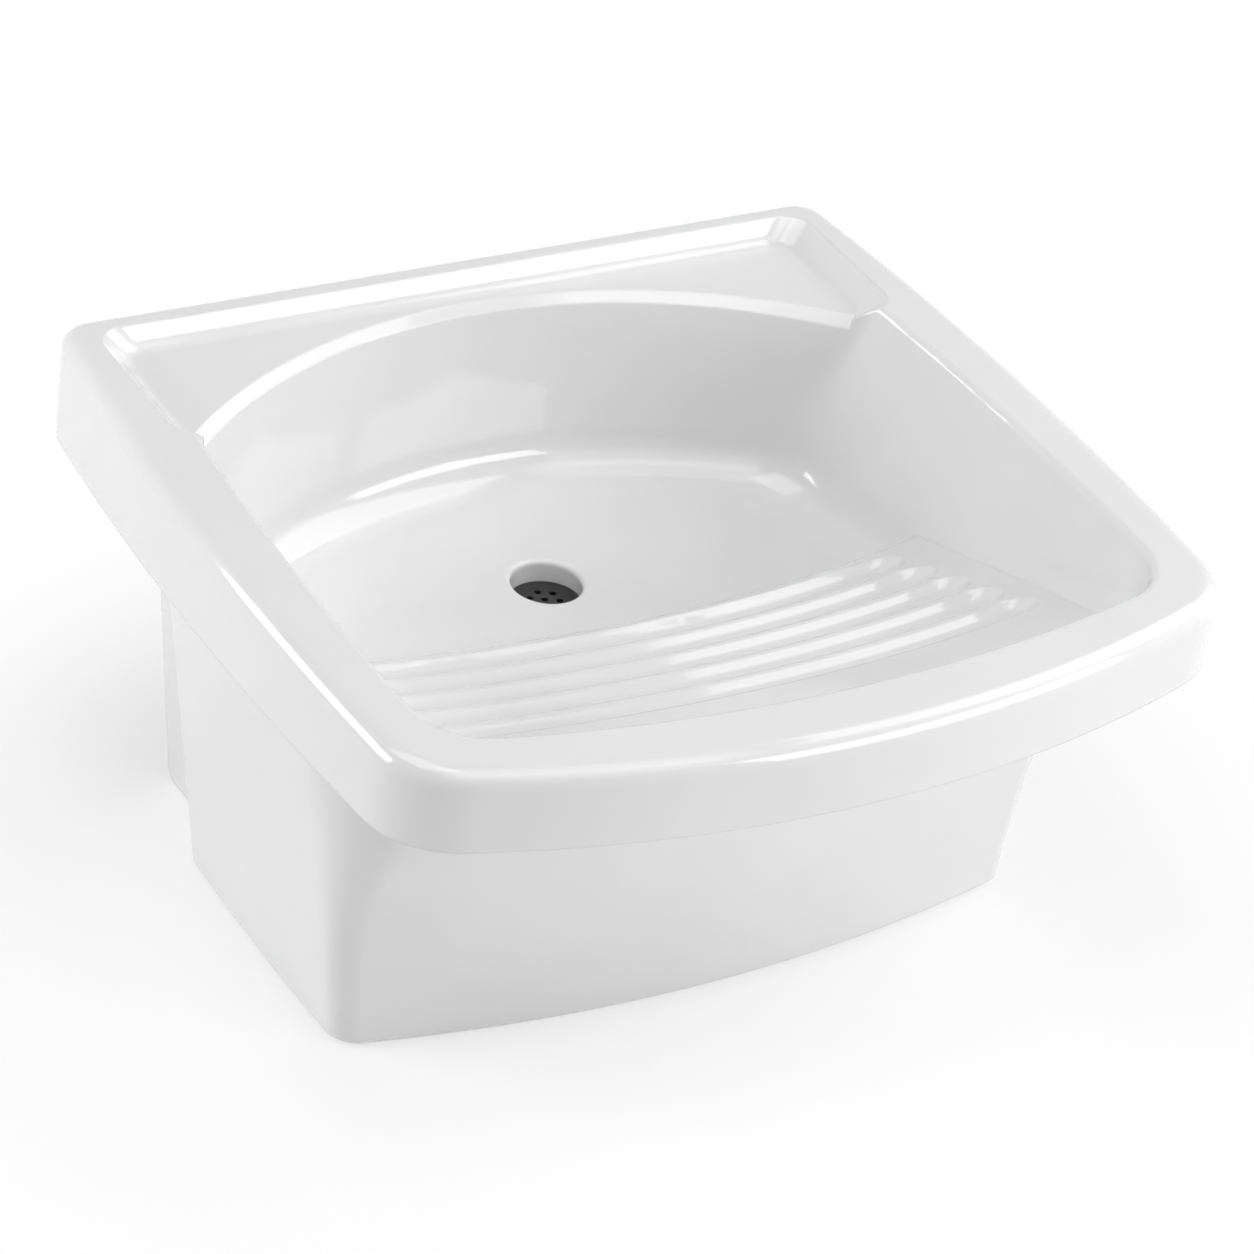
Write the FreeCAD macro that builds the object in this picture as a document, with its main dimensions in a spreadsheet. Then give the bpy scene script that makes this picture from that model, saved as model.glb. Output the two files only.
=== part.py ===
"""Pedestal laundry sink: glazed basin with a washboard on a hollow pedestal, with waste and bottle trap."""

import FreeCAD, Part
import math
import os
import re
import Sketcher
from FreeCAD import Placement, Rotation, Vector

# Driving sizes, in millimetres and degrees
SIZES = (
    # Rim and apron, in the plane of the rim
    ("rim_width", 600),
    ("rim_depth", 564),
    ("rim_side_radius", 2500),
    ("rim_front_radius", 800),
    ("rim_rear_corner", 22),
    ("rim_front_corner", 58),
    ("rim_edge", 12),
    ("rim_height", 307.6),
    ("rim_tilt", 4),
    ("apron_rear", 78),
    ("apron_front", 53),
    # Bowl, set in from the rim by bands, and its drawn-in base
    ("bowl_depth", 149),
    ("bowl_side_band", 40),
    ("bowl_back_band", 41),
    ("bowl_front_band", 47),
    ("bowl_side_draw", 30),
    ("bowl_back_draw", 9),
    ("bowl_back_inset", 2),
    ("bowl_front_radius", 1000),
    ("bowl_side_radius", 2500),
    ("bowl_side_middle", 60),
    ("bowl_rear_corner", 10),
    ("bowl_base_rear_corner", 70),
    ("bowl_front_corner", 45),
    ("bowl_cove", 34),
    ("bowl_cove_margin", 6.8),
    ("bowl_wall", 12),
    ("opening_edge", 5),
    ("floor_wall", 12),
    # Back trough, set in from the rim by bands
    ("trough_side_band", 34),
    ("trough_back_band", 18),
    ("trough_reach", 130),
    ("trough_depth", 15),
    ("trough_end_slope", 15),
    ("trough_front_slope", 12),
    ("trough_back_slope", 8),
    ("trough_cove", 9),
    ("trough_corner", 20),
    ("trough_lip", 6),
    ("skirt_wall", 14),
    # Washboard
    ("board_length", 274),
    ("lip_depth", 102),
    ("lip_radius", 700),
    ("lip_edge", 8),
    ("board_slope", 16.6),
    ("board_wall", 16),
    ("groove_count", 5),
    ("groove_start", 22),
    ("groove_pitch", 29),
    ("groove_radius", 14),
    ("groove_run", 50),
    ("groove_run_angle", 35),
    ("groove_depth", 7),
    ("crest_drop", 0.8),
    ("groove_margin", 85),
    # Outlet well
    ("drain_setback", 175.5),
    ("well_bore", 48),
    ("well_depth", 21),
    ("well_edge", 3),
    ("ledge_bore", 41),
    ("ledge_wall", 10),
    ("boss_diameter", 78),
    # Pedestal, set back from the rim, with two rear legs
    ("foot_side_setback", 50),
    ("foot_front_setback", 155),
    ("foot_corner", 20),
    ("foot_middle", 20),
    ("foot_edge", 4),
    ("head_drop", 67.6),
    ("head_side_setback", 21),
    ("head_flare", 64),
    ("head_corner", 120),
    ("pedestal_steps", 5),
    ("pedestal_rear_setback", 157),
    ("pedestal_rear_corner", 6),
    ("pedestal_wall", 16),
    ("pedestal_front_radius", 1000),
    ("leg_foot_setback", 83),
    ("leg_head_setback", 63),
    ("leg_rear_setback", 60),
    ("leg_wall", 12),
    ("leg_drop", 25),
    ("leg_corner", 10),
    ("seal_height", 2),
    ("board_clearance", 3),
    ("lug_width", 40),
    ("lug_height", 16),
    ("lug_bore", 9),
    ("lug_inset", 35),
    ("wall_bolt_bore", 14),
    ("wall_bolt_spacing", 400),
    ("wall_bolt_drop", 55),
    # Waste
    ("tail_diameter", 40),
    ("tail_bore", 34),
    ("thread_clearance", 0.3),
    ("flange_clearance", 0.5),
    ("waste_flange", 5),
    ("waste_seal", 2),
    ("under_seal", 3),
    ("friction_thickness", 1.5),
    ("backnut_height", 12),
    ("backnut_corners", 66),
    ("backnut_faces", 6),
    ("strainer_height", 2.5),
    ("strainer_rim", 2.5),
    ("strainer_clearance", 0.3),
    ("strainer_hole", 5),
    ("strainer_ring", 10),
    ("strainer_count", 6),
    # Bottle trap
    ("nut_gap", 10),
    ("cup_height", 26),
    ("cup_bore", 66),
    ("cup_wall", 5),
    ("cup_base", 4),
    ("cup_seal", 2),
    ("thread_length", 8),
    ("body_wall", 4),
    ("chamber_height", 48),
    ("socket_diameter", 47),
    ("socket_height", 12),
    ("socket_insert", 8),
    ("washer_height", 3),
    ("nut_skirt", 10),
    ("nut_lip", 4),
    ("nut_wall", 5),
    ("nut_faces", 12),
    ("dip_diameter", 36),
    ("dip_wall", 2),
    ("dip_collar", 3),
    ("dip_clearance", 9),
    ("spout_reach", 62),
    ("spout_bore", 33),
    ("spout_insert", 16),
    ("pipe_wall", 2),
    ("spigot_diameter", 50),
    ("spigot_length", 40),
)

os.makedirs("parts", exist_ok=True)
doc = FreeCAD.newDocument("laundry_sink")
sheet = doc.addObject("Spreadsheet::Sheet", "sizes")
rows = 0


def put(alias, value):
    """Writes one named size to the sheet."""
    global rows
    rows += 1
    sheet.set(f"A{rows}", alias)
    sheet.set(f"B{rows}", f"{value:.6f}")
    sheet.setAlias(f"B{rows}", alias)


for alias, value in SIZES:
    put(alias, value)
doc.recompute()


def size(alias):
    """Reads one named size from the sheet."""
    return float(sheet.get(alias))


TILTED = Placement(Vector(0, 0, size("rim_height")), Rotation(Vector(1, 0, 0), size("rim_tilt")))
FAR = 2 * size("rim_width")
HALF_WIDTH = size("rim_width") / 2
HALF_DEPTH = size("rim_depth") / 2
COVE_LEVEL = size("bowl_cove") + size("bowl_cove_margin") - size("bowl_depth")

# Sizes that follow from the rim
put("bowl_half_width", HALF_WIDTH - size("bowl_side_band"))
put("bowl_base_half_width", HALF_WIDTH - size("bowl_side_band") - size("bowl_side_draw"))
put("bowl_back", HALF_DEPTH - size("bowl_back_band"))
put("bowl_base_back", HALF_DEPTH - size("bowl_back_band") - size("bowl_back_draw"))
put("bowl_front", HALF_DEPTH - size("bowl_front_band"))
put("trough_half_width", HALF_WIDTH - size("trough_side_band"))
put("trough_back", HALF_DEPTH - size("trough_back_band"))
put("trough_front", HALF_DEPTH - size("trough_back_band") - size("trough_reach"))
put("lip_front", HALF_DEPTH - size("board_length"))
put("groove_half_span", HALF_WIDTH - size("bowl_side_band") - size("groove_margin"))
put("foot_half_width", HALF_WIDTH - size("foot_side_setback"))
put("foot_front", HALF_DEPTH - size("foot_front_setback"))
put("head_half_width", HALF_WIDTH - size("head_side_setback"))
put("head_height", size("rim_height") - size("head_drop"))
put("pedestal_rear", HALF_DEPTH - size("pedestal_rear_setback"))
put("lug_middle", HALF_WIDTH - size("foot_side_setback") - size("lug_inset"))
doc.recompute()


def world(y, z):
    """World place of a point given in the rim's own plane."""
    return TILTED.multVec(Vector(0, y, z))


def meet(centre_a, radius_a, centre_b, radius_b, to_back):
    """Where two circles cross, on the back or the front side."""
    apart = centre_b - centre_a
    along = (radius_a**2 - radius_b**2 + apart.Length**2) / (2 * apart.Length)
    aside = math.sqrt(radius_a**2 - along**2)
    unit = Vector(apart).normalize()
    base = centre_a + unit * along
    across = Vector(-unit.y, unit.x, 0) * aside
    found = sorted((base + across, base - across), key=lambda point: point.y)
    return found[1] if to_back else found[0]


def corner(side, side_radius, end, end_radius, radius, to_back):
    """Tangent points and middle of a rounded corner between a side arc and an end arc."""
    centre = meet(side, side_radius - radius, end, end_radius - radius, to_back)
    on_side = side + (centre - side).normalize() * side_radius
    on_end = end + (centre - end).normalize() * end_radius
    middle = centre + (on_side + on_end - centre * 2).normalize() * radius
    return on_side, middle, on_end


def mirrored(point):
    """The same point on the left side."""
    return Vector(-point.x, point.y, point.z)


def outline(level, half_width, back, front, side_radius, side_middle, back_radius, front_radius, rear, fore):
    """Closed outline of arcs: bowed sides, bowed back and front, and four rounded corners."""
    side = Vector(half_width - side_radius, side_middle, 0)
    back_centre = Vector(0, back - back_radius, 0)
    front_centre = Vector(0, front_radius - front, 0)
    rear_side, rear_middle, rear_end = corner(side, side_radius, back_centre, back_radius, rear, True)
    fore_side, fore_middle, fore_end = corner(side, side_radius, front_centre, front_radius, fore, False)
    side_point = side + ((rear_side + fore_side) * 0.5 - side).normalize() * side_radius
    right = (
        (rear_end, rear_middle, rear_side),
        (rear_side, side_point, fore_side),
        (fore_side, fore_middle, fore_end),
    )
    arcs = list(right)
    arcs.append((fore_end, Vector(0, -front, 0), mirrored(fore_end)))
    for start, middle, end in reversed(right):
        arcs.append((mirrored(end), mirrored(middle), mirrored(start)))
    arcs.append((mirrored(rear_end), Vector(0, back, 0), rear_end))
    lift = Vector(0, 0, level)
    return Part.Wire([Part.Arc(*(point + lift for point in arc)).toShape() for arc in arcs])


def loft(wires, ruled):
    """Solid through a stack of outlines."""
    return Part.makeLoft(wires, True, ruled)


def edges_at(shape, level):
    """Edges that lie in one level plane."""
    return [edge for edge in shape.Edges if max(abs(v.Z - level) for v in edge.Vertexes) < 1e-3]


def slab_above(y, z, slope):
    """Everything above a plane through (y, z) that rises towards the back by slope degrees."""
    box = Part.makeBox(2 * FAR, 2 * FAR, FAR, Vector(-FAR, -FAR, 0))
    box.Placement = Placement(Vector(0, y, z), Rotation(Vector(1, 0, 0), slope))
    return box


# The outlet, the wall and the wall bolts, in the world's frame
drain = world(HALF_DEPTH - size("drain_setback"), -size("bowl_depth"))
put("drain_y", drain.y)
put("drain_level", drain.z)
put("wall_plane", -world(-HALF_DEPTH, -size("rim_edge")).y)
put("wall_bolt_height", world(HALF_DEPTH, 0).z - size("wall_bolt_drop"))
doc.recompute()

# Rim block with its apron
FLAT_BACK = 1000 * size("rim_depth")
APRON_SLOPE = math.degrees(math.atan((size("apron_rear") - size("apron_front")) / size("rim_depth")))


def rim_outline(inset, level):
    """Outline of the rim, drawn in by inset."""
    return outline(
        level,
        size("rim_width") / 2 - inset,
        HALF_DEPTH - inset,
        HALF_DEPTH - inset,
        size("rim_side_radius") - inset,
        0,
        FLAT_BACK,
        size("rim_front_radius") - inset,
        size("rim_rear_corner") - min(inset, size("rim_rear_corner") / 2),
        size("rim_front_corner") - inset,
    )


def rim_block():
    """Solid rim from its top down to the sloping underside of the apron."""
    block = Part.Face(rim_outline(0, -size("apron_rear"))).extrude(Vector(0, 0, size("apron_rear")))
    block = block.makeFillet(size("rim_edge"), edges_at(block, 0))
    return block.common(slab_above(-HALF_DEPTH, -size("apron_front"), -APRON_SLOPE))


def bowl_outline(level, grow, drop):
    """Outline of the bowl at a level below the rim, grown by a wall and lowered by a drop."""
    rise = size("bowl_back") - size("trough_front")
    chord = size("bowl_half_width") - size("bowl_back_inset")
    back_radius = (chord**2 + rise**2) / (2 * rise)
    part = -level / size("bowl_depth")
    turned = min(1, level / COVE_LEVEL)

    def between(top, base, share):
        return size(top) + (size(base) - size(top)) * share + grow

    return outline(
        level - drop,
        between("bowl_half_width", "bowl_base_half_width", part),
        between("bowl_back", "bowl_base_back", part),
        size("bowl_front") + grow,
        size("bowl_side_radius"),
        -size("bowl_side_middle"),
        back_radius + grow,
        size("bowl_front_radius") + grow,
        between("bowl_rear_corner", "bowl_base_rear_corner", turned),
        size("bowl_front_corner") + grow,
    )


def bowl_solid(top, grow, drop):
    """The bowl as a solid: drawn-in walls, then a cove into the floor."""
    floor = -size("bowl_depth")
    walls = loft([bowl_outline(top, grow, drop), bowl_outline(COVE_LEVEL, grow, drop)], True)
    base = loft([bowl_outline(COVE_LEVEL, grow, drop), bowl_outline(floor, grow, drop)], True)
    base = base.makeFillet(size("bowl_cove"), edges_at(base, floor - drop))
    return walls.fuse(base)


def board_wedge(wall):
    """Everything in front of the washboard's lip and below the board, set back by a wall."""
    slope = math.radians(size("board_slope"))
    centre = Vector(0, size("lip_radius") - size("lip_front"), -FAR)
    block = Part.makeBox(2 * FAR, FAR, FAR, centre - Vector(FAR, FAR, 0))
    block = block.cut(Part.makeCylinder(size("lip_radius") + wall, 2 * FAR, centre))
    drop = size("lip_depth") + wall / math.cos(slope)
    return block.cut(slab_above(-size("lip_front"), -drop, -size("board_slope")))


def washboard():
    """Cut of the washboard's grooves: a wave bent about the board's normal that runs out at its ends."""
    slope = math.radians(size("board_slope"))
    normal = Vector(0, math.sin(slope), math.cos(slope))
    forward = Vector(0, -math.cos(slope), math.sin(slope))
    centre = Vector(0, -size("lip_front"), -size("lip_depth")) - forward * size("lip_radius")
    first = size("lip_radius") + size("groove_start")
    turn = math.degrees(math.asin(size("groove_half_span") / first))
    radius = size("groove_radius")
    pitch = size("groove_pitch")
    high = radius - size("groove_depth")
    fall = high + size("crest_drop")
    crest = (pitch**2 / 4 + fall**2 - radius**2) / (2 * (radius - fall))
    share = radius / (radius + crest)

    def at(reach, height):
        return centre + forward * reach + normal * height

    def touch(reach):
        return at(reach, high - (fall + crest) * share)

    middles = [first + pitch * index for index in range(round(size("groove_count")))]
    begin = at(first - radius, high)
    wave = []
    for middle in middles[:-1]:
        stop = touch(middle + pitch / 2 * share)
        wave.append(Part.Arc(begin, at(middle, high - radius), stop).toShape())
        begin = touch(middle + pitch - pitch / 2 * share)
        wave.append(Part.Arc(stop, at(middle + pitch / 2, -size("crest_drop")), begin).toShape())
    stop = at(middles[-1] + radius, high)
    wave.append(Part.Arc(begin, at(middles[-1], high - radius), stop).toShape())
    wave.append(Part.makeLine(stop, at(first - radius, high)))
    section = Part.Face(Part.Wire(wave))
    pieces = []
    for side in (-1, 1):
        tip = section.rotated(centre, normal, side * turn)
        pieces.append(tip.revolve(centre, normal, -side * turn))
        outward = Rotation(normal, side * turn).multVec(forward)
        pivot = centre + normal * (high + size("groove_run"))
        pieces.append(tip.revolve(pivot, outward * side, size("groove_run_angle")))
    return pieces[0].fuse(pieces[1:])


def trough_wire(lean):
    """Rounded outline of the trough above the rim (lean -1) or at its floor (lean 1)."""
    half = size("trough_half_width") - lean * size("trough_end_slope")
    near = size("trough_front") + lean * size("trough_front_slope")
    far = size("trough_back") - lean * size("trough_back_slope")
    level = -lean * size("trough_depth")
    block = Part.makeBox(2 * half, far - near, size("trough_depth"), Vector(-half, near, level))
    upright = [edge for edge in block.Edges if abs(edge.Vertexes[0].Z - edge.Vertexes[-1].Z) > 1]
    block = block.makeFillet(size("trough_corner"), upright)
    return Part.Wire(Part.__sortEdges__(edges_at(block, level)))


def trough():
    """Recess along the back: sloping walls with a cove into its floor."""
    recess = loft([trough_wire(-1), trough_wire(1)], True)
    return recess.makeFillet(size("trough_cove"), edges_at(recess, -size("trough_depth")))


def trough_lip():
    """Cut that breaks the edge between the floor of the trough and the bowl's back."""
    floor = -size("trough_depth")
    lip = size("trough_lip")
    cone = loft([bowl_outline(floor, 2 * lip, -lip), bowl_outline(floor, -lip, 2 * lip)], True)
    plan = Part.Face(trough_wire(1))
    plan.translate(Vector(0, 0, lip))
    return cone.common(plan.extrude(Vector(0, 0, -4 * lip)))


def tub(extra):
    """Outside of the bowl and of the washboard, grown by something extra."""
    outside = bowl_solid(-size("trough_depth"), size("bowl_wall") + extra, size("floor_wall") + extra)
    return outside.cut(board_wedge(size("board_wall") + extra))


def basin_shape():
    """Basin in its place on the pedestal, with the outlet well bored upright through its floor."""
    board = board_wedge(0)
    lip = [edge for edge in board.Edges if on_lip(edge)]
    board = board.makeFillet(size("lip_edge"), lip)
    space = bowl_solid(size("trough_depth"), 0, 0).cut(board)
    under = -size("trough_depth") - size("skirt_wall")
    hollow = Part.Face(rim_outline(size("skirt_wall"), -FAR)).extrude(Vector(0, 0, FAR + under))
    hollow = hollow.common(Part.makeBox(2 * FAR, FAR, 2 * FAR, Vector(-FAR, size("trough_front"), -FAR)))
    shell = rim_block().cut(hollow).fuse(tub(0))
    shell = shell.cut([space, washboard()])
    inner = [edge for edge in edges_at(shell, 0) if in_opening(edge.CenterOfGravity)]
    shell = shell.makeFillet(size("opening_edge"), inner).cut([trough(), trough_lip()])
    shell.Placement = TILTED
    ledge = Vector(0, size("drain_y"), size("drain_level") - size("well_depth"))
    foot = ledge - Vector(0, 0, size("ledge_wall"))
    boss_height = size("drain_level") - foot.z - size("floor_wall") / 2
    boss = Part.makeCylinder(size("boss_diameter") / 2, boss_height, foot)
    well = Part.makeCylinder(size("well_bore") / 2, 2 * size("well_depth"), ledge)
    bore = Part.makeCylinder(size("ledge_bore") / 2, 2 * size("ledge_wall"), foot)
    bolts = []
    inward = Vector(0, -1, 0)
    for side in (-1, 1):
        place = Vector(side * size("wall_bolt_spacing") / 2, size("wall_plane"), size("wall_bolt_height"))
        bolts.append(Part.makeCylinder(size("wall_bolt_bore") / 2, 2 * size("skirt_wall"), place, inward))
    behind = Part.makeBox(2 * FAR, FAR, 2 * FAR, Vector(-FAR, size("wall_plane"), -FAR))
    shell = shell.fuse(boss).cut([well, bore, behind] + bolts)
    mouth = [edge for edge in shell.Edges if at_mouth(edge)]
    return shell.makeFillet(size("well_edge"), mouth)


def on_lip(edge):
    """True for the arc where the washboard turns down into the bowl."""
    middle = edge.CenterOfGravity
    crosses = len(edge.Vertexes) == 2 and max(abs(v.X) for v in edge.Vertexes) > 1
    return crosses and abs(middle.x) < 1 and middle.z > -FAR / 2


def in_opening(point):
    """True inside the opening of the rim."""
    within = abs(point.x) < size("trough_half_width") + 1
    return within and -size("bowl_front") - 1 < point.y < size("trough_back") + 1


def at_mouth(edge):
    """True for the edge where the outlet well leaves the floor of the bowl."""
    middle = edge.CenterOfGravity
    near = abs(middle.y - size("drain_y")) < 3 and abs(middle.z - size("drain_level")) < 3
    return near and edge.BoundBox.XLength < size("well_bore") + 1


def pedestal_outline(level, inset, back):
    """Outline of the pedestal at a height, drawn in by a wall: upright at the foot, flared at the head."""
    part = level / size("head_height")
    rise = max(part, 0)
    return outline(
        level,
        size("foot_half_width") + (size("head_half_width") - size("foot_half_width")) * part - inset,
        back,
        size("foot_front") + size("head_flare") * rise**2 - inset,
        size("rim_side_radius"),
        size("foot_middle") * (rise - 1),
        FLAT_BACK,
        size("pedestal_front_radius") - inset,
        size("pedestal_rear_corner"),
        size("foot_corner") + (size("head_corner") - size("foot_corner")) * rise**3 - inset / 2,
    )


def pedestal_solid(foot, inset, back):
    """The pedestal's outline as a solid up to the rim's height."""
    steps = round(size("pedestal_steps"))
    levels = [foot] + [size("rim_height") * (step + 1) / steps for step in range(steps)]
    return loft([pedestal_outline(level, inset, back) for level in levels], False)


def leg_block(inset, near, far, foot, head):
    """Block across both rear legs, drawn in by an inset, from one level to another."""
    wires = []
    for level in (foot, head):
        share = level / size("head_height")
        setback = size("leg_foot_setback") * (1 - share) + size("leg_head_setback") * share
        half = HALF_WIDTH - setback - inset
        plan = [Vector(x, y, level) for x, y in ((-half, near), (half, near), (half, far), (-half, far))]
        wires.append(Part.makePolygon(plan + plan[:1]))
    return loft(wires, True)


def pedestal_shell():
    """Hollow skirt with two rear legs and two floor lugs, still without its seat."""
    wall = size("pedestal_wall")
    rear = size("pedestal_rear")
    edge = size("foot_edge")
    foot = loft([pedestal_outline(0, edge, rear), pedestal_outline(edge, 0, rear)], True)
    outer = pedestal_solid(edge, 0, rear).fuse(foot)
    end = HALF_DEPTH - size("leg_rear_setback")
    legs = leg_block(0, rear - wall, end, 0, size("head_height") - size("leg_drop"))
    heel = [edge for edge in edges_at(legs, 0) if min(v.Y for v in edge.Vertexes) > end - 1]
    legs = legs.makeFillet(size("leg_corner"), heel)
    inner = pedestal_solid(-wall, wall, rear - wall)
    way = leg_block(size("leg_wall"), rear - 2 * wall, end + wall, -wall, size("rim_height"))
    shell = outer.fuse(legs).cut([inner, way])
    for side in (-1, 1):
        middle = Vector(side * size("lug_middle"), 0, 0)
        ends = (side * size("foot_half_width"), middle.x - side * size("lug_width") / 2)
        near = Vector(min(ends), -size("lug_width") / 2, 0)
        lug = Part.makeBox(max(ends) - near.x, size("lug_width"), size("lug_height"), near)
        hole = Part.makeCylinder(size("lug_bore") / 2, 2 * size("lug_height"), middle)
        shell = shell.fuse(lug.common(outer)).cut(hole)
    return shell


def seat(gap):
    """Everything above the seat of the basin, less a gap."""
    front = world(-HALF_DEPTH, -size("apron_front"))
    return slab_above(front.y, front.z - gap, size("rim_tilt") - APRON_SLOPE)


def in_sheet(text):
    """An expression of size names, as the sheet's cells are named in the document."""
    return re.sub("[a-z_]+", lambda word: f"sizes.{word[0]}", text)


def bind(piece, **expressions):
    """Ties properties of a piece to the sheet; underscores in a name stand for dots."""
    for target, text in expressions.items():
        piece.setExpression(target.replace("_", "."), in_sheet(text))


def column(name, diameter, base, height, faces=None):
    """Upright cylinder, or a prism across its flats, on the axis of the outlet."""
    piece = doc.addObject("Part::Prism" if faces else "Part::Cylinder", name)
    if faces:
        bind(piece, Polygon=faces, Circumradius=f"({diameter}) / 2")
    else:
        bind(piece, Radius=f"({diameter}) / 2")
    bind(piece, Height=height, Placement_Base_y="drain_y", Placement_Base_z=base)
    return piece


def run(name, diameter, start, length, faces=None):
    """Level cylinder or prism on the axis of the trap's spout; start is measured from the outlet's axis."""
    piece = column(name, diameter, SPOUT, length, faces)
    piece.Placement = Placement(Vector(), Rotation(Vector(1, 0, 0), -90))
    bind(piece, Placement_Base_y=f"drain_y + {start}")
    return piece


def joined(name, pieces):
    """Several pieces as one."""
    if len(pieces) == 1:
        return pieces[0]
    whole = doc.addObject("Part::MultiFuse", name)
    whole.Shapes = pieces
    return whole


def bored(name, solids, voids):
    """A turned piece: joined solids less joined bores."""
    piece = doc.addObject("Part::Cut", name)
    piece.Base = joined(f"{name}_solid", solids)
    piece.Tool = joined(f"{name}_bores", voids)
    return piece


def ring(name, outer, bore, base, height):
    """Flat upright ring."""
    disc = column(f"{name}_disc", outer, base, height)
    return bored(name, [disc], [column(f"{name}_bore", bore, base, height)])


def slip_nut(name, make, face):
    """Union nut with a grip of many faces: a skirt over the socket and a lip over the washer."""
    outer = "socket_diameter + 2 * nut_wall"
    skirt = f"{face} - nut_skirt"
    grip = make(f"{name}_grip", outer, skirt, "nut_skirt + washer_height + nut_lip", "nut_faces")
    thread = make(f"{name}_thread", SOCKET_FIT, skirt, "nut_skirt + washer_height")
    hole = make(f"{name}_hole", TAIL_FIT, face, "washer_height + nut_lip")
    return bored(name, [grip], [thread, hole])


def solid_node(name, shape):
    """A slip-cast or moulded piece whose shape is worked out from the sheet."""
    piece = doc.addObject("Part::Feature", name)
    piece.Shape = shape
    return piece


# Ceramic pieces and the strip between them
room = tub(size("board_clearance"))
room.Placement = TILTED
skirt = pedestal_shell().cut(room)
strips = skirt.common(seat(size("seal_height"))).cut(seat(0))
strips = sorted(strips.Solids, key=lambda strip: strip.CenterOfMass.x)
nodes = [
    solid_node("basin", basin_shape()),
    solid_node("pedestal", skirt.cut(seat(size("seal_height")))),
    solid_node("seat_seal_left", strips[0]),
    solid_node("seat_seal_right", strips[-1]),
]

# Levels of the waste and the trap
TAIL_FIT = "tail_diameter + 2 * thread_clearance"
DIP_FIT = "dip_diameter + 2 * thread_clearance"
SOCKET_FIT = "socket_diameter + 2 * thread_clearance"
LEDGE = "drain_level - well_depth"
BOSS = "drain_level - well_depth - ledge_wall"
FRICTION = f"{BOSS} - under_seal - friction_thickness"
BACKNUT = f"{FRICTION} - backnut_height"
SOCKET = f"{BACKNUT} - nut_gap - nut_lip - washer_height"
ROOF = f"{SOCKET} - socket_height"
SHOULDER = f"{ROOF} - chamber_height"
SPOUT = f"{ROOF} - chamber_height / 2"
CUP_TOP = f"{SHOULDER} - cup_seal"
CUP_FLOOR = f"{CUP_TOP} - cup_height"
CUP_OUTER = "cup_bore + 2 * cup_wall"
SKIRT_OUTER = "cup_bore - 2 * thread_clearance"
SKIRT_BORE = f"{SKIRT_OUTER} - 2 * body_wall"
STRAINER_SEAT = "tail_bore + 2 * strainer_rim"
WASTE_FLANGE = "well_bore - 2 * flange_clearance"
UNDER_RING = "boss_diameter - 2 * ledge_wall"

# Waste through the outlet well, with its seals and backnut
tail = f"{SOCKET} - socket_insert"
top = f"{LEDGE} + waste_seal + waste_flange"
nodes += [
    ring("waste_top_seal", WASTE_FLANGE, TAIL_FIT, LEDGE, "waste_seal"),
    bored(
        "waste_body",
        [
            column("waste_flange_disc", WASTE_FLANGE, f"{LEDGE} + waste_seal", "waste_flange"),
            column("waste_tail", "tail_diameter", tail, f"{top} - ({tail})"),
        ],
        [
            column("waste_bore", "tail_bore", tail, f"{top} - ({tail})"),
            column("waste_mouth", STRAINER_SEAT, f"{top} - strainer_height", "strainer_height"),
        ],
    ),
    ring("waste_under_seal", UNDER_RING, TAIL_FIT, f"{BOSS} - under_seal", "under_seal"),
    ring("friction_washer", UNDER_RING, TAIL_FIT, FRICTION, "friction_thickness"),
    bored(
        "waste_backnut",
        [column("backnut_grip", "backnut_corners", BACKNUT, "backnut_height", "backnut_faces")],
        [column("backnut_thread", TAIL_FIT, BACKNUT, "backnut_height")],
    ),
]

# Bottle trap under the waste
thread = f"{CUP_TOP} - thread_length"
nodes += [
    bored(
        "trap_body",
        [
            column("trap_chamber", CUP_OUTER, SHOULDER, "chamber_height"),
            column("trap_skirt", SKIRT_OUTER, thread, "thread_length + cup_seal"),
            column("trap_socket", "socket_diameter", ROOF, "socket_height"),
            run("trap_spout", "socket_diameter", "cup_bore / 4", "spout_reach - cup_bore / 4"),
        ],
        [
            column("trap_hollow", "cup_bore", f"{SHOULDER} + body_wall", "chamber_height - 2 * body_wall"),
            column("trap_throat", SKIRT_BORE, thread, "thread_length + cup_seal + body_wall"),
            column("trap_dip_hole", DIP_FIT, f"{ROOF} - body_wall", "body_wall"),
            column("trap_inlet", TAIL_FIT, ROOF, "socket_height"),
            run("trap_spout_bore", "spout_bore", "cup_bore / 4", "spout_reach - cup_bore / 4"),
            run("trap_spout_socket", TAIL_FIT, "spout_reach - spout_insert", "spout_insert"),
        ],
    ),
    bored(
        "trap_cup",
        [column("cup_outside", CUP_OUTER, CUP_FLOOR, "cup_height")],
        [column("cup_inside", "cup_bore", f"{CUP_FLOOR} + cup_base", "cup_height - cup_base")],
    ),
    ring("trap_cup_seal", CUP_OUTER, "cup_bore", CUP_TOP, "cup_seal"),
    slip_nut("tail_nut", column, SOCKET),
    ring("tail_washer", "socket_diameter", TAIL_FIT, SOCKET, "washer_height"),
    slip_nut("outlet_nut", run, "spout_reach"),
]
dip = f"{CUP_FLOOR} + cup_base + dip_clearance"
dip_height = f"{ROOF} + dip_collar - ({dip})"
pipe = "spout_reach - spout_insert + thread_clearance"
pipe_length = f"wall_plane - drain_y - ({pipe})"
spigot = "wall_plane - drain_y - spigot_length"
spigot_bore = "spigot_diameter - 2 * pipe_wall"
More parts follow.
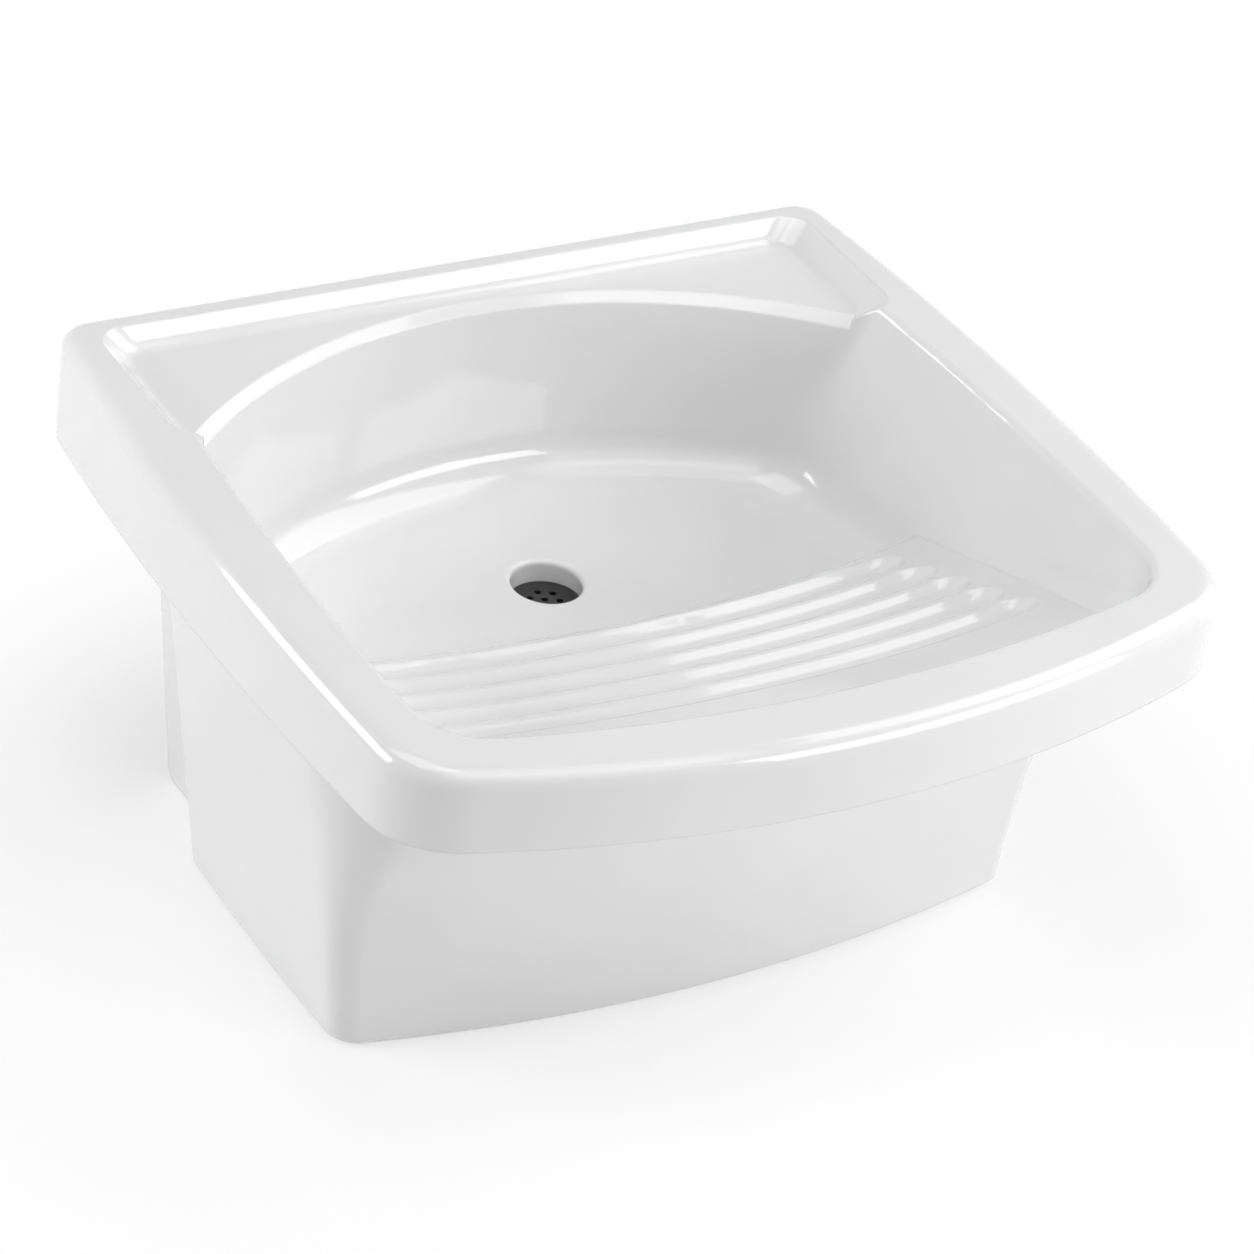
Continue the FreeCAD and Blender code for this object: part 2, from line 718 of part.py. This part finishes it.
nodes += [
    bored(
        "trap_dip_tube",
        [
            column("dip_outside", "dip_diameter", dip, dip_height),
            column("dip_rim", "tail_diameter", ROOF, "dip_collar"),
        ],
        [column("dip_inside", "dip_diameter - 2 * dip_wall", dip, dip_height)],
    ),
    bored(
        "outlet_washer",
        [run("outlet_washer_disc", "socket_diameter", "spout_reach", "washer_height")],
        [run("outlet_washer_bore", TAIL_FIT, "spout_reach", "washer_height")],
    ),
    bored(
        "outlet_pipe",
        [
            run("pipe_outside", "tail_diameter", pipe, pipe_length),
            run("spigot_outside", "spigot_diameter", spigot, "spigot_length"),
        ],
        [
            run("pipe_inside", "tail_diameter - 2 * pipe_wall", pipe, pipe_length),
            run("spigot_inside", spigot_bore, f"{spigot} + pipe_wall", "spigot_length - pipe_wall"),
        ],
    ),
]

# Strainer in the mouth of the waste
strainer = doc.addObject("PartDesign::Body", "waste_strainer")
bind(strainer, Placement_Base_y="drain_y", Placement_Base_z=f"{top} - strainer_height")
origin = {feature.Role: feature for feature in strainer.Origin.OriginFeatures}


def circle(name, radius, offset=None):
    """Sketch of one circle on the strainer's base plane, some way from its middle."""
    sketch = strainer.newObject("Sketcher::SketchObject", name)
    sketch.AttachmentSupport = (origin["XY_Plane"], [""])
    sketch.MapMode = "FlatFace"
    first = size("strainer_ring")
    sketch.addGeometry(Part.Circle(Vector(0, first, 0), Vector(0, 0, 1), first), False)
    sketch.addConstraint(Sketcher.Constraint("Radius", 0, first))
    sketch.setExpression("Constraints[0]", in_sheet(radius))
    sketch.addConstraint(Sketcher.Constraint("PointOnObject", 0, 3, -2))
    if offset:
        sketch.addConstraint(Sketcher.Constraint("DistanceY", -1, 1, 0, 3, first))
        sketch.setExpression("Constraints[2]", in_sheet(offset))
    else:
        sketch.addConstraint(Sketcher.Constraint("PointOnObject", 0, 3, -1))
    return sketch


def pocket(name, profile):
    """Hole through the strainer."""
    hole = strainer.newObject("PartDesign::Pocket", name)
    hole.Profile = profile
    hole.Type = "ThroughAll"
    hole.Reversed = True
    return hole


plate = strainer.newObject("PartDesign::Pad", "strainer_plate")
plate.Profile = circle("strainer_edge", f"({STRAINER_SEAT}) / 2 - strainer_clearance")
bind(plate, Length="strainer_height")
pocket("strainer_middle_hole", circle("strainer_middle", "strainer_hole / 2"))
doc.recompute()
ringed = pocket("strainer_outer_hole", circle("strainer_outer", "strainer_hole / 2", "strainer_ring"))
pattern = strainer.newObject("PartDesign::PolarPattern", "strainer_holes")
pattern.Originals = [ringed]
pattern.Axis = (origin["Z_Axis"], [""])
pattern.Angle = 360
bind(pattern, Occurrences="strainer_count")
strainer.Tip = pattern
nodes.append(strainer)

# Every piece must be sound before any file is written
doc.recompute()
for piece in doc.Objects:
    if {"Invalid", "Error"} & set(piece.State):
        raise RuntimeError(f"{piece.Name} could not be made")
for node in nodes:
    if node.Shape.isNull() or not node.Shape.isValid() or len(node.Shape.Solids) != 1:
        raise RuntimeError(f"{node.Label} is not one sound solid")
for node in nodes:
    node.Shape.exportStep(f"parts/{node.Label}.step")
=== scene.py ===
import math
import bpy
from mathutils import Matrix, Vector

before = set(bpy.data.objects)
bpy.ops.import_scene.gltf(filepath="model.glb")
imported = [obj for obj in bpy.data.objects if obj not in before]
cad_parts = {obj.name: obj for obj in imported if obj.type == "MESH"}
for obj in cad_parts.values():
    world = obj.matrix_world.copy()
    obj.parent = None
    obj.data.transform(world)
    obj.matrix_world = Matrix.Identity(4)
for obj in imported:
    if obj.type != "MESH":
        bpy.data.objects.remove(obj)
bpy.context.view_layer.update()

scene = bpy.context.scene
scene.view_settings.view_transform = "Standard"

# Camera at the photograph's angle, with its slight roll
PHOTO_SIZE = 1254
FOCAL_PIXELS = 4428.76
SENSOR_WIDTH = 36
FAR_CLIP = 50
AZIMUTH = math.radians(-32.92)
ELEVATION = math.radians(30.78)
ROLL = math.radians(6.25)
DISTANCE = 2.83374
TARGET = Vector((0, 0.01359, 0.18964))


def bearing(azimuth, elevation):
    """Direction away from the sink: azimuth 0 is the front and plus is to the right."""
    level = math.cos(elevation)
    return Vector((math.sin(azimuth) * level, -math.cos(azimuth) * level, math.sin(elevation)))


def make_camera():
    """Adds the camera on a line from the target, rolled about its own axis."""
    back = bearing(AZIMUTH, ELEVATION)
    level = Vector((0, 0, 1)).cross(back).normalized()
    rise = back.cross(level)
    across = math.cos(ROLL) * level + math.sin(ROLL) * rise
    up = back.cross(across)
    data = bpy.data.cameras.new("photo_camera")
    data.sensor_width = SENSOR_WIDTH
    data.lens = FOCAL_PIXELS / PHOTO_SIZE * SENSOR_WIDTH
    data.clip_end = FAR_CLIP
    camera = bpy.data.objects.new("photo_camera", data)
    turn = Matrix((across, up, back)).transposed()
    camera.matrix_world = Matrix.Translation(TARGET + back * DISTANCE) @ turn.to_4x4()
    scene.collection.objects.link(camera)
    scene.camera = camera


# Materials: each has a darker and a paler shade that noise blends between two stops
SHADE_STOPS = (0.3, 0.7)
GLAZE_SHADES = ((0.84, 0.84, 0.845), (0.87, 0.87, 0.875))
RUBBER_SHADES = ((0.018, 0.018, 0.019), (0.034, 0.034, 0.035))
BLACK_SHADES = ((0.012, 0.012, 0.013), (0.026, 0.026, 0.027))
TRAP_SHADES = ((0.70, 0.70, 0.68), (0.76, 0.76, 0.74))
SEEN_FLOOR_SHADES = ((0.45, 0.45, 0.45), (0.46, 0.46, 0.46))
BOUNCE_FLOOR_SHADES = ((0.93, 0.93, 0.93), (0.95, 0.95, 0.95))
GLAZE_ROUNDING = 0.003
MOULD_ROUNDING = 0.0006
ROUNDING_SAMPLES = 8
GRAIN_DEPTH = 0.0003
WAVE_DEPTH = 0.002


class Nodes:
    """Short ways to build one material's nodes."""

    def __init__(self, name):
        self.material = bpy.data.materials.new(name)
        self.material.use_nodes = True
        self.tree = self.material.node_tree
        self.shader = self.tree.nodes["Principled BSDF"]
        self.place = self.tree.nodes.new("ShaderNodeTexCoord").outputs["Object"]

    def link(self, source, target):
        self.tree.links.new(source, target)

    def noise(self, scale, detail):
        """Cloudy noise over the object's own coordinates."""
        node = self.tree.nodes.new("ShaderNodeTexNoise")
        node.inputs["Scale"].default_value = scale
        node.inputs["Detail"].default_value = detail
        self.link(self.place, node.inputs["Vector"])
        return node.outputs["Fac"]

    def blend(self, source, shades):
        """Turns a value into a colour between a darker and a paler shade."""
        node = self.tree.nodes.new("ShaderNodeValToRGB")
        for point, stop, shade in zip(node.color_ramp.elements, SHADE_STOPS, shades):
            point.position = stop
            point.color = (*shade, 1)
        self.link(source, node.inputs["Fac"])
        return node.outputs["Color"]

    def span(self, source, low, high):
        """Maps a value from 0..1 to low..high."""
        node = self.tree.nodes.new("ShaderNodeMapRange")
        node.inputs["To Min"].default_value = low
        node.inputs["To Max"].default_value = high
        self.link(source, node.inputs["Value"])
        return node.outputs["Result"]

    def bump(self, source, strength, depth, below):
        """Bump from a height, on top of other normals."""
        node = self.tree.nodes.new("ShaderNodeBump")
        node.inputs["Strength"].default_value = strength
        node.inputs["Distance"].default_value = depth
        self.link(source, node.inputs["Height"])
        self.link(below, node.inputs["Normal"])
        return node.outputs["Normal"]

    def rounded(self, radius):
        """Normals that round off sharp edges over a radius."""
        node = self.tree.nodes.new("ShaderNodeBevel")
        node.samples = ROUNDING_SAMPLES
        node.inputs["Radius"].default_value = radius
        return node.outputs["Normal"]

    def mixed(self, share, first, second):
        """Mixes two shaders by a share of the second."""
        node = self.tree.nodes.new("ShaderNodeMixShader")
        self.link(share, node.inputs["Fac"])
        self.link(first, node.inputs[1])
        self.link(second, node.inputs[2])
        return node.outputs["Shader"]

    def set(self, **values):
        """Sets plain values on the shader; underscores stand for spaces."""
        for name, value in values.items():
            self.shader.inputs[name.replace("_", " ")].default_value = value

    def join(self, name, source):
        self.link(source, self.shader.inputs[name])


def glaze():
    """White sanitary glaze: clear gloss over a white body, with a soft waviness."""
    mat = Nodes("white_glaze")
    mat.join("Base Color", mat.blend(mat.noise(scale=9, detail=3), GLAZE_SHADES))
    mat.join("Roughness", mat.span(mat.noise(scale=40, detail=4), low=0.05, high=0.10))
    edges = mat.rounded(GLAZE_ROUNDING)
    wave = mat.bump(mat.noise(scale=18, detail=1), strength=0.06, depth=WAVE_DEPTH, below=edges)
    surface = mat.bump(mat.noise(scale=420, detail=2), strength=0.02, depth=GRAIN_DEPTH, below=wave)
    mat.join("Normal", surface)
    mat.join("Coat Normal", surface)
    mat.set(IOR=1.55, Coat_Weight=0.5, Coat_Roughness=0.03, Coat_IOR=1.5)
    return mat.material


def moulded(name, shades, rough, grain):
    """Moulded plastic or rubber with a fine grain and slightly uneven gloss."""
    mat = Nodes(name)
    mat.join("Base Color", mat.blend(mat.noise(scale=60, detail=4), shades))
    mat.join("Roughness", mat.span(mat.noise(scale=180, detail=3), low=rough - 0.06, high=rough + 0.08))
    edges = mat.rounded(MOULD_ROUNDING)
    surface = mat.bump(mat.noise(scale=1400, detail=3), strength=grain, depth=GRAIN_DEPTH, below=edges)
    mat.join("Normal", surface)
    mat.set(IOR=1.46)
    return mat.material


def dress(nodes, material):
    """Gives CAD nodes one material."""
    for name in nodes:
        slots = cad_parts[name].data.materials
        slots.clear()
        slots.append(material)


# Floor and surroundings: white where seen, with the sink's shadow on the floor near it
FLOOR_HALF = 6.0
FLOOR_DROP = 0.0005
FLOOR_GLOW = 0.57
FADE_START = 0.32
FADE_END = 0.58
WORLD_STRENGTH = 0.04
WHITE = (1, 1, 1, 1)


def direct_rays(tree):
    """Gives 1 for rays that show the background: from the camera, off gloss and through clear pieces."""
    ray = tree.nodes.new("ShaderNodeLightPath")
    shown = ray.outputs["Is Camera Ray"]
    for kind in ("Is Glossy Ray", "Is Transmission Ray"):
        larger = tree.nodes.new("ShaderNodeMath")
        larger.operation = "MAXIMUM"
        tree.links.new(shown, larger.inputs[0])
        tree.links.new(ray.outputs[kind], larger.inputs[1])
        shown = larger.outputs["Value"]
    return shown


def pale_floor():
    """Floor finish that throws light back up, keeps a light shadow where it is seen and fades to white."""
    mat = Nodes("pale_floor")
    tree = mat.tree
    grain = mat.noise(scale=3, detail=2)
    mat.join("Base Color", mat.blend(grain, SEEN_FLOOR_SHADES))
    mat.set(Roughness=0.9, Specular_IOR_Level=0.0)
    glow = tree.nodes.new("ShaderNodeEmission")
    glow.inputs["Strength"].default_value = FLOOR_GLOW
    near = tree.nodes.new("ShaderNodeAddShader")
    mat.link(mat.shader.outputs["BSDF"], near.inputs[0])
    mat.link(glow.outputs["Emission"], near.inputs[1])
    away = tree.nodes.new("ShaderNodeVectorMath")
    away.operation = "LENGTH"
    mat.link(mat.place, away.inputs[0])
    fade = tree.nodes.new("ShaderNodeMapRange")
    fade.interpolation_type = "SMOOTHSTEP"
    fade.inputs["From Min"].default_value = FADE_START
    fade.inputs["From Max"].default_value = FADE_END
    mat.link(away.outputs["Value"], fade.inputs["Value"])
    plain = tree.nodes.new("ShaderNodeEmission")
    seen = mat.mixed(fade.outputs["Result"], near.outputs["Shader"], plain.outputs["Emission"])
    bounce = tree.nodes.new("ShaderNodeBsdfDiffuse")
    mat.link(mat.blend(grain, BOUNCE_FLOOR_SHADES), bounce.inputs["Color"])
    surface = mat.mixed(direct_rays(tree), bounce.outputs["BSDF"], seen)
    mat.link(surface, tree.nodes["Material Output"].inputs["Surface"])
    return mat.material


def make_floor():
    """Adds the floor, a hair below the sink's foot."""
    corners = [(-FLOOR_HALF, -FLOOR_HALF, 0), (FLOOR_HALF, -FLOOR_HALF, 0)]
    corners += [(FLOOR_HALF, FLOOR_HALF, 0), (-FLOOR_HALF, FLOOR_HALF, 0)]
    mesh = bpy.data.meshes.new("floor")
    mesh.from_pydata(corners, [], [(0, 1, 2, 3)])
    mesh.materials.append(pale_floor())
    floor = bpy.data.objects.new("floor", mesh)
    floor.location.z = -FLOOR_DROP
    scene.collection.objects.link(floor)


def make_world():
    """Dim even surroundings that are white where they are seen or mirrored."""
    world = bpy.data.worlds.new("studio")
    scene.world = world
    world.use_nodes = True
    tree = world.node_tree
    dim = tree.nodes["Background"]
    dim.inputs["Color"].default_value = WHITE
    dim.inputs["Strength"].default_value = WORLD_STRENGTH
    white = tree.nodes.new("ShaderNodeBackground")
    white.inputs["Color"].default_value = WHITE
    mix = tree.nodes.new("ShaderNodeMixShader")
    tree.links.new(direct_rays(tree), mix.inputs["Fac"])
    tree.links.new(dim.outputs["Background"], mix.inputs[1])
    tree.links.new(white.outputs["Background"], mix.inputs[2])
    tree.links.new(mix.outputs["Shader"], tree.nodes["World Output"].inputs["Surface"])


# Studio lamps, all aimed at the middle of the sink from one distance
MIDDLE = Vector((0, 0, 0.2))
LAMP_DISTANCE = 2.6


def soft_box(name, azimuth, elevation, width, height, watts):
    """Adds a broad lamp on a bearing in degrees, with its sides in metres."""
    away = bearing(math.radians(azimuth), math.radians(elevation))
    data = bpy.data.lights.new(name, "AREA")
    data.shape = "RECTANGLE"
    data.size = width
    data.size_y = height
    data.energy = watts
    lamp = bpy.data.objects.new(name, data)
    lamp.location = MIDDLE + away * LAMP_DISTANCE
    lamp.rotation_euler = (-away).to_track_quat("-Z", "Y").to_euler()
    scene.collection.objects.link(lamp)


make_camera()
dress(("basin", "pedestal"), glaze())
seals = ("seat_seal_left", "seat_seal_right", "waste_top_seal", "waste_under_seal")
washers = ("trap_cup_seal", "tail_washer", "outlet_washer")
dress(seals + washers, moulded("seal_rubber", RUBBER_SHADES, rough=0.62, grain=0.35))
dress(("waste_body", "waste_strainer"), moulded("waste_plastic", BLACK_SHADES, rough=0.36, grain=0.12))
trap = ("trap_body", "trap_dip_tube", "trap_cup", "tail_nut", "outlet_nut", "outlet_pipe")
waste_fixings = ("friction_washer", "waste_backnut")
dress(trap + waste_fixings, moulded("trap_plastic", TRAP_SHADES, rough=0.34, grain=0.15))
make_floor()
make_world()
soft_box("left_low", azimuth=-115, elevation=15, width=1.6, height=1.2, watts=31)
soft_box("front_low", azimuth=35, elevation=15, width=1.8, height=1.2, watts=27)
soft_box("right_low", azimuth=85, elevation=15, width=1.8, height=1.2, watts=7)
soft_box("right_mid", azimuth=84, elevation=45, width=1.9, height=1.8, watts=20)
soft_box("top_left", azimuth=-90, elevation=68, width=1.8, height=1.8, watts=17)
soft_box("top_front", azimuth=0, elevation=68, width=1.8, height=1.8, watts=11)
soft_box("mid_front", azimuth=-10, elevation=45, width=2.0, height=1.6, watts=8)
